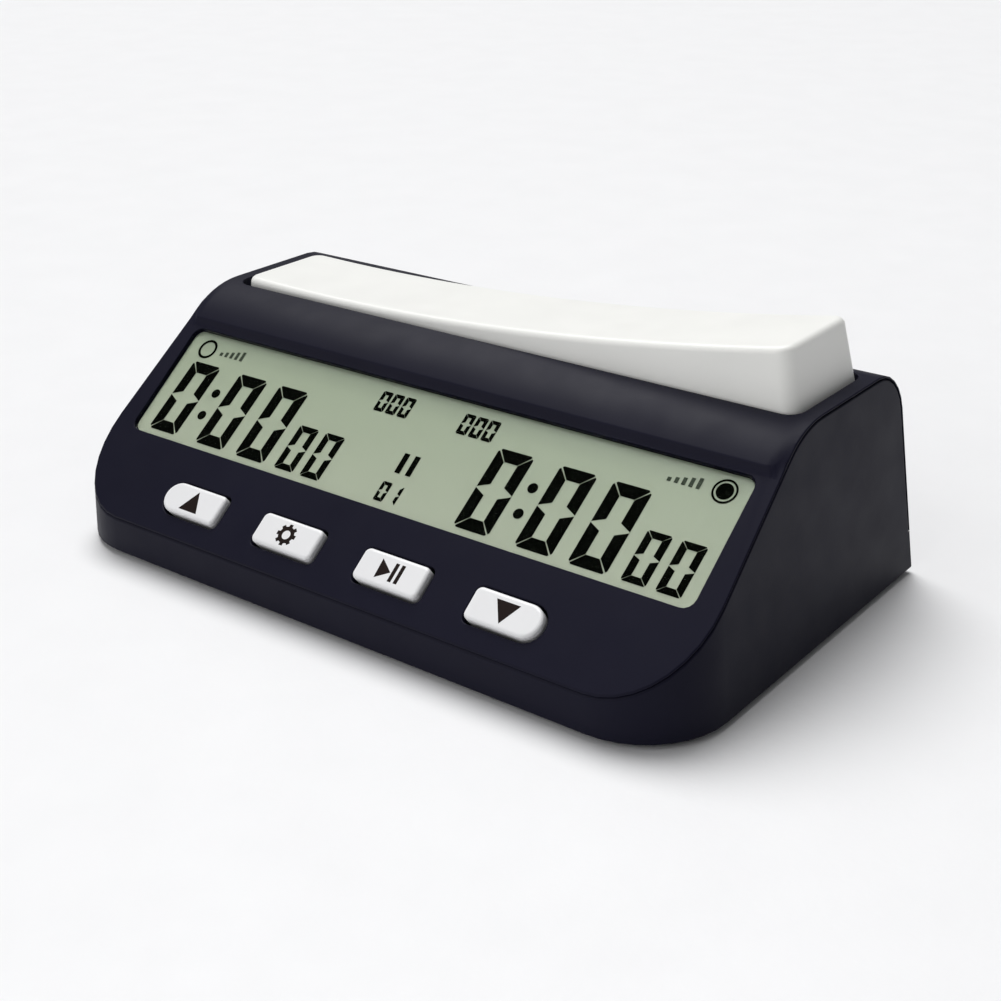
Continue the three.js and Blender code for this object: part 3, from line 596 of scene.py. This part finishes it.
def at_back_seam(p):
    return p.y > BACK_SEAM_Y and BACK_SEAM_Z[0] < p.z < BACK_SEAM_Z[1]


def at_battery_bay(p):
    """The bay's opening and its narrow rails, which stay sharp."""
    beside = door_low.x - BAY_MARGIN < p.x < door_high.x + BAY_MARGIN
    return beside and p.y > door_low.y - BAY_MARGIN and p.z < door_high.z + BAY_MARGIN


def at_window(on_panel):
    """The display's opening; the point is in the panel's own frame."""
    return all(
        window_low[i] - WINDOW_MARGIN < on_panel[i] < window_high[i] + WINDOW_MARGIN for i in (0, 1))


def tub_width(p):
    if at_battery_bay(p):
        return 0
    return BACK_SEAM_EDGE if at_back_seam(p) else TUB_EDGE


def cover_width(p):
    if at_back_seam(p):
        return BACK_SEAM_EDGE
    on_panel = UNPANEL @ p
    if at_window(on_panel):
        return WINDOW_EDGE if on_panel.z > -PANEL_NEAR else 0
    if abs(on_panel.z) < PANEL_NEAR and abs(p.x) < KEY_ROW_HALF:
        return KEY_HOLE_EDGE
    return COVER_EDGE


rounded_copy("cover", "face_cover", key_middles(), cover_width, housing_air, flat=0.3)
rounded_copy("tub", "base_tub", TUB_CUTS, tub_width, housing_air, flat=0.8)


# ---------- small pieces with softened edges ----------
SOFT_SEGMENTS = 2           # faces in a rounding
SOFT_FROM = math.radians(40)   # it takes edges sharper than this


def soften(node, width):
    """Small rounding of all of a simple piece's edges."""
    obj = frame["nodes"][node]
    shade_smooth(obj.data)
    bevel = obj.modifiers.new("edge", "BEVEL")
    bevel.width = width * MM
    bevel.segments = SOFT_SEGMENTS
    bevel.limit_method = "ANGLE"
    bevel.angle_limit = SOFT_FROM
    flatten(obj, keep_sharp=False)


for corner in ("front_left", "front_right", "rear_left", "rear_right"):
    soften(f"foot_{corner}", FOOT_EDGE)
soften("battery_door", DOOR_EDGE)
soften("power_slider", SLIDER_EDGE)


# ---------- rocker bar ----------
def rocker_outline():
    """Outline at the level of the axle, its long sides cut up so that the top can be dished."""
    x, y = ROCKER_HALF
    corners = rounded_rect(-x, x, -y, y, ROCKER_CORNER, ROCKER_CORNER)
    half = len(corners) // 2
    straight = x - ROCKER_CORNER
    along = [straight - 2 * straight * i / ROCKER_CUTS for i in range(1, ROCKER_CUTS)]
    back = [((px, y), (0, 1)) for px in along]
    front = [((-px, -y), (0, -1)) for px in along]
    return corners[:half] + back + corners[half:] + front


def rocker_ring(outline, inset, level):
    """The outline drawn in by an inset, at the heights that level gives along the bar.

    The ends lean, so place and height depend on each other and are found in a few rounds."""
    corner = ROCKER_CORNER
    radius = corner - inset
    ring = []
    for (x, y), (nx, ny) in outline:
        px = x
        for _ in range(ROCKER_ROUNDS):
            z = level(px)
            half_x = ROCKER_HALF[0] - inset - z * math.tan(ROCKER_END_DRAFT)
            half_y = ROCKER_HALF[1] - inset - z * math.tan(ROCKER_SIDE_DRAFT)
            px = (x - nx * corner) * (half_x - radius) / (ROCKER_HALF[0] - corner) + nx * radius
        py = (y - ny * corner) * (half_y - radius) / (ROCKER_HALF[1] - corner) + ny * radius
        ring.append((px, py, z))
    return ring


def bored_block(half, top, radius, y0, y1, steps=28):
    """A square-edged block around the axle with a round bore along Y."""
    square = ((half, top), (-half, top), (-half, -half), (half, -half))
    corners = [math.atan2(z, x) % math.tau for x, z in square]
    angles = sorted(corners + [math.tau * i / steps for i in range(steps)])
    tiny = 1e-6
    verts, faces = [], []
    for angle in angles:
        c, s = math.cos(angle), math.sin(angle)
        reach = min(half / max(abs(c), tiny), (top if s > 0 else half) / max(abs(s), tiny))
        verts += [(r * c, y, r * s) for r, y in ((reach, y1), (reach, y0), (radius, y0), (radius, y1))]
    count = len(angles)
    for i in range(count):
        a, b = 4 * i, 4 * ((i + 1) % count)
        faces += [(a + k, b + k, b + (k + 1) % 4, a + (k + 1) % 4) for k in range(4)]
    return verts, faces


def rocker_inside():
    """Hub and two ribs around the axle, and the leg that works the switch."""
    blocks = [bored_block(HUB_HALF, HUB_TOP, BORE_R, y0, y1) for y0, y1 in HUB_SPANS]
    leg_bottom = min((ROCKER.inverted() @ p).z for p in node_points("rocker"))
    x, y = LEG_HALF
    leg = plates([rect(-x, x, -y, y)], leg_bottom, -HUB_HALF + OVERLAP)
    return merged(leg, *blocks)


def top_strips(outline, first):
    """The top face as a row of strips from the front edge to the back edge."""
    order = sorted(range(len(outline)), key=lambda i: outline[i][0][0])
    front = [first + i for i in order if outline[i][0][1] < 0]
    back = [first + i for i in order if outline[i][0][1] > 0]
    return [(front[k], front[k + 1], back[k + 1], back[k]) for k in range(len(front) - 1)]


def rounding_normals(outline, first):
    """Normals of the upper rounding's points, from the drafted wall to the dished top."""
    normals = {}
    for k in range(ROCKER_EDGE_STEPS + 1):
        share = k / ROCKER_EDGE_STEPS
        for i, ((x, _), (nx, ny)) in enumerate(outline):
            draft = nx * nx * ROCKER_END_DRAFT + ny * ny * ROCKER_SIDE_DRAFT
            lift = draft + (math.pi / 2 - draft) * share
            level_out = math.cos(lift)
            tilt = 2 * ROCKER_DISH * x * math.sin(lift)
            normal = Vector((nx * level_out - tilt, ny * level_out, math.sin(lift)))
            normals[first + k * len(outline) + i] = normal
    return normals


def make_rocker():
    outline = rocker_outline()

    def under(drop):
        return lambda x: ROCKER_TOP + ROCKER_DISH * x * x - drop

    def flat(z):
        return lambda x: z

    rings = [
        rocker_ring(outline, ROCKER_WALL, flat(ROCKER_CEILING)),
        rocker_ring(outline, ROCKER_WALL, flat(ROCKER_SKIRT)),
        rocker_ring(outline, ROCKER_SKIRT_EDGE, flat(ROCKER_SKIRT)),
        rocker_ring(outline, 0, flat(ROCKER_SKIRT + ROCKER_SKIRT_EDGE)),
        rocker_ring(outline, 0, under(ROCKER_EDGE)),
    ]
    rounding = (len(rings) - 1) * len(outline)
    for side, drop in quarter(ROCKER_EDGE_STEPS):
        rings.append(rocker_ring(outline, ROCKER_EDGE * side, under(ROCKER_EDGE * drop)))
    verts, faces = loft(rings, top_cap=False)
    faces += top_strips(outline, len(verts) - len(outline))
    bar = merged((verts, faces), rocker_inside())
    obj = piece("rocker_bar", *bar, ROCKER, "rocker", "rocker_plastic", "rocker")
    obj.data.materials.append(rocker_white)
    smooth(obj)
    exact_normals(obj, ROCKER, rounding_normals(outline, rounding))


make_rocker()


# ---------- keys ----------
def gear(cx, cy, outer, root, hole, teeth=8, hole_steps=24):
    """A toothed ring in two half outlines, so that each half is one plain polygon."""
    tooth = ((-13, root), (-10, outer), (10, outer), (13, root))   # degrees from its middle, radius
    rim = []
    for i in range(teeth + 1):
        middle = math.tau * i / teeth
        for turn, radius in tooth:
            angle = middle + math.radians(turn)
            rim.append((cx + radius * math.cos(angle), cy + radius * math.sin(angle)))
    inner = []
    for i in range(hole_steps + 1):
        angle = math.tau * i / hole_steps
        inner.append((cx + hole * math.cos(angle), cy + hole * math.sin(angle)))
    start = len(tooth) // 2     # a half starts and ends within a tooth
    half = len(tooth) * teeth // 2
    return [
        rim[start : start + half + 1] + inner[hole_steps // 2 :: -1],
        rim[start + half : start + 2 * half + 1] + inner[: hole_steps // 2 - 1 : -1],
    ]


def icon(key, u, v):
    """Symbol on a key cap as polygons in millimetres, around the cap's middle."""
    if key == "up":
        return [[(u - 2.2, v - 2.2), (u + 2.7, v - 2.2), (u + 0.5, v + 2.3)]]
    if key == "down":
        return [[(u - 2.7, v + 2.0), (u, v - 2.2), (u + 2.4, v + 2.0)]]
    if key == "settings":
        return gear(u - 0.05, v, outer=2.3, root=1.8, hole=0.95)
    bars = [rect(u + x, u + x + 0.8, v - 1.85, v + 1.95) for x in (0.4, 1.8)]
    return [[(u - 2.65, v - 1.95), (u + 0.15, v - 0.1), (u - 2.8, v + 2.0)], *bars]


def make_key(index, key):
    low, high = panel_box(f"{key}_key")
    inset = KEY_FLANGE + KEY_MOAT
    x0, x1 = low[0] + inset, high[0] - inset
    y0, y1 = low[1] + inset, high[1] - inset
    top = high[2]
    full = (y1 - y0) / 2 - KEY_END_SPARE
    left = full if index == 0 else KEY_CORNER
    right = full if index == len(KEYS) - 1 else KEY_CORNER
    outline = rounded_rect(x0, x1, y0, y1, left, right)
    rings = [ring_at(outline, 0, low[2]), ring_at(outline, 0, top - KEY_DROP)]
    for side, drop in quarter(KEY_EDGE_STEPS):
        rings.append(ring_at(outline, side * KEY_ROUND, top - KEY_DROP * drop))
    verts, faces = loft(rings)
    body = f"{key}_key"
    cap = piece(f"{key}_cap", verts, faces, PANEL, body, "key_plastic", body)
    cap.data.materials.append(key_white)
    smooth(cap)
    flatten(cap)
    middle = ((x0 + x1) / 2, (y0 + y1) / 2)
    symbol = plates(icon(key, *middle), top, top + PRINT)
    mark = piece(f"{key}_symbol", *symbol, PANEL, body, "key_plastic")
    mark.data.materials.append(ink)


for index, key in enumerate(KEYS):
    make_key(index, key)

# ---------- display, in millimetres across and up the panel ----------
SEG_GAP = 0.085             # between neighbouring segments, as a share of a bar's height
SEG_CORNER = 0.3            # cut corners of a digit, as a share of a bar's height
SLANT = 0.034               # lean of the digits to the right, as a share of their height
SEGMENT_T = 0.05            # thickness of the segments
SEGMENT_GAP = 0.02          # between the glass and the segments

# v0 and v1: lower and upper edge; across and upright: thickness of the bars and of the sides
BIG = {"v0": 20.65, "v1": 38.0, "across": 2.5, "upright": 2.45}
SMALL = {"v0": 20.75, "v1": 30.95, "across": 1.35, "upright": 1.5}
COUNT = {"v0": 38.4, "v1": 42.95, "across": 0.78, "upright": 0.78}
MIDDLE = {"v0": 20.75, "v1": 24.95, "across": 0.72, "upright": 0.72}

TIMES = (-64.2, 17.25)      # left end of each player's time
BIG_DIGITS = (0.0, 13.8, 25.3)   # from there
BIG_WIDTH = 8.0
SMALL_DIGITS = (36.1, 43.0)
SMALL_WIDTH = 5.0
COLON_U = 11.1
COLON_V = (26.65, 32.15)
COLON_R = 1.05

COUNTS = (-13.9, 6.65)      # left end of each player's small number
COUNT_DIGITS = 3
COUNT_PITCH = 2.95
COUNT_WIDTH = 2.4

PAUSE_BARS = (-1.2, 1.4)    # left edges
PAUSE_WIDTH = 1.25
PAUSE_V = (27.2, 31.6)
MIDDLE_ZERO = (-2.3, -0.05)   # left and right end of the small digits under the bars
MIDDLE_ONE = (0.6, 2.9)

LEFT_MARK = (-62.55, 41.4)  # middle of the left player's round mark
LEFT_RING = (2.35, 1.78)    # outer and inner radius
RIGHT_MARK = (63.15, 41.65)
RIGHT_RING = (2.4, 2.0)
RIGHT_DOT_R = 1.62

LEVELS = (-58.6, 52.0)      # left end of each row of level marks
LEVEL_BARS = 5
LEVEL_PITCH = 1.45
LEVEL_WIDTH = 0.75
LEVEL_V = (40.7, 41.5)      # lower and upper edge of the first bar
LEVEL_RISE = 0.35


def digit(u0, u1, v0, v1, across, upright, lit="abcdef"):
    """Segments of one slanted digit: a is the top bar, then clockwise to f at the top left."""
    mid = (v0 + v1) / 2
    gap = across * SEG_GAP / 2
    cut = across * SEG_CORNER
    bar = [(cut, 0), (cut / 2 + gap, cut / 2 - gap), (upright + gap, across)]
    side = [(0, cut), (cut / 2 - gap, cut / 2 + gap), (upright, across + gap)]
    bars, sides = {}, {}
    # name of the side next to each corner, the corner, and the ways in from it
    for name, x, y, inwards, upwards in (
        ("f", u0, v1, 1, -1), ("b", u1, v1, -1, -1), ("e", u0, v0, 1, 1), ("c", u1, v0, -1, 1),
    ):
        bars[name] = [(x + inwards * du, y + upwards * dv) for du, dv in bar]
        sides[name] = [(x + inwards * du, y + upwards * dv) for du, dv in side]
        sides[name] += [(x + inwards * upright, mid - upwards * across / 2), (x, mid - upwards * gap)]
    shapes = dict(sides)
    shapes["a"] = bars["f"] + bars["b"][::-1]
    shapes["d"] = bars["e"] + bars["c"][::-1]
    slanted = []
    for name in lit:
        points = [(x + SLANT * (y - mid), y) for x, y in shapes[name]]
        following = points[1:] + points[:1]
        area = sum(p[0] * q[1] - q[0] * p[1] for p, q in zip(points, following))
        slanted.append(points if area > 0 else points[::-1])
    return slanted


def disc(u, v, radius, steps=32):
    return [point for point, _ in arc(u, v, radius, 0, 360 - 360 / steps, steps - 1)]


def player_time(u):
    """One player's time: hours and minutes in big digits, seconds in small ones."""
    shapes = []
    for shift in BIG_DIGITS:
        shapes += digit(u + shift, u + shift + BIG_WIDTH, **BIG)
    for shift in SMALL_DIGITS:
        shapes += digit(u + shift, u + shift + SMALL_WIDTH, **SMALL)
    return shapes + [disc(u + COLON_U, v, COLON_R) for v in COLON_V]


def player_count(u):
    """One player's small number."""
    shapes = []
    for i in range(COUNT_DIGITS):
        left = u + COUNT_PITCH * i
        shapes += digit(left, left + COUNT_WIDTH, **COUNT)
    return shapes


def level_marks(start):
    """A row of bars, each a little taller than the one before."""
    low, high = LEVEL_V
    shapes = []
    for i in range(LEVEL_BARS):
        left = start + LEVEL_PITCH * i
        shapes.append(rect(left, left + LEVEL_WIDTH, low, high + LEVEL_RISE * i))
    return shapes


def make_display():
    bottom = panel_box("lcd_glass")[1][2] + SEGMENT_GAP
    top = bottom + SEGMENT_T
    shapes = [shape for u in TIMES for shape in player_time(u)]
    shapes += [shape for u in COUNTS for shape in player_count(u)]
    shapes += [rect(u, u + PAUSE_WIDTH, *PAUSE_V) for u in PAUSE_BARS]
    shapes += digit(*MIDDLE_ZERO, **MIDDLE)
    shapes += digit(*MIDDLE_ONE, **MIDDLE, lit="bc")
    discs = plates([disc(*RIGHT_MARK, RIGHT_DOT_R)], bottom, top)
    rings = [
        ring_plates(*LEFT_MARK, *LEFT_RING, bottom, top),
        ring_plates(*RIGHT_MARK, *RIGHT_RING, bottom, top),
    ]
    lit = merged(plates(shapes, bottom, top), discs, *rings)
    obj = piece("display_segments", *lit, PANEL, "housing", "display")
    obj.data.materials.append(segment)
    levels = [shape for start in LEVELS for shape in level_marks(start)]
    marks = piece("display_level_marks", *plates(levels, bottom, top), PANEL, "housing", "display")
    marks.data.materials.append(faint)


make_display()

# ---------- floor, light and camera ----------
FLOOR_HALF_M = 6.0          # the floor reaches this far each way, in metres
FLOOR_DROP = 0.02           # and is this far under the feet, in millimetres


def make_floor():
    mesh = bpy.data.meshes.new("floor")
    corners = rect(-FLOOR_HALF_M, FLOOR_HALF_M, -FLOOR_HALF_M, FLOOR_HALF_M)
    mesh.from_pydata([(x, y, 0) for x, y in corners], [], [(0, 1, 2, 3)])
    floor = bpy.data.objects.new("floor", mesh)
    floor.location.z = -FLOOR_DROP * MM
    bpy.context.scene.collection.objects.link(floor)
    paint = moulded(
        "floor_paint", (0.86, 0.86, 0.87), 0.6, grain_per_mm=0.4, grain_mm=0.05, variation=0.01)
    floor.data.materials.append(paint)


def make_world():
    world = bpy.data.worlds.new("studio")
    bpy.context.scene.world = world
    world.use_nodes = True
    sky = world.node_tree.nodes["Background"]
    sky.inputs["Color"].default_value = (0.98, 0.99, 1.0, 1)
    sky.inputs["Strength"].default_value = 0.18


def soft_sun(name, direction, width, strength):
    """A far lamp, width degrees across: the same on the whole floor, with soft shadows."""
    lamp = bpy.data.lights.new(name, "SUN")
    lamp.energy = strength
    lamp.angle = math.radians(width)
    obj = bpy.data.objects.new(name, lamp)
    obj.rotation_euler = Vector(direction).to_track_quat("Z", "Y").to_euler()
    bpy.context.scene.collection.objects.link(obj)


make_floor()
make_world()
soft_sun("key_light", (-0.35, 0.30, 0.89), width=44, strength=2.75)
soft_sun("front_fill", (-0.35, -0.85, 0.40), width=60, strength=0.95)

# the camera stands to the front right, a little above; lengths in millimetres
AIM = Vector((0, 0, 26))
AZIMUTH = math.radians(37.97)
ELEVATION = math.radians(24.52)
ROLL = math.radians(-0.83)
DISTANCE = 322.01
LENS = 58.84
SENSOR = 36
CLIP_M = (0.01, 50)         # nearest and farthest that it sees, in metres
OFFSET = (-5.59, 13.18)     # the aim's place in the picture plane, right and up of the middle


def make_camera():
    back = Vector((
        math.sin(AZIMUTH) * math.cos(ELEVATION),
        -math.cos(AZIMUTH) * math.cos(ELEVATION),
        math.sin(ELEVATION),
    ))
    across = Vector((math.cos(AZIMUTH), math.sin(AZIMUTH), 0))
    above = back.cross(across)
    right = math.cos(ROLL) * across + math.sin(ROLL) * above
    up = math.cos(ROLL) * above - math.sin(ROLL) * across
    place = AIM + DISTANCE * back - OFFSET[0] * right - OFFSET[1] * up
    lens = bpy.data.cameras.new("camera")
    lens.lens = LENS
    lens.sensor_width = SENSOR
    lens.clip_start, lens.clip_end = CLIP_M
    camera = bpy.data.objects.new("camera", lens)
    axes = Matrix((right, up, back)).transposed()
    camera.matrix_world = Matrix.Translation(place * MM) @ axes.to_4x4()
    bpy.context.scene.collection.objects.link(camera)
    bpy.context.scene.camera = camera


make_camera()
bpy.context.scene.view_settings.view_transform = "Standard"
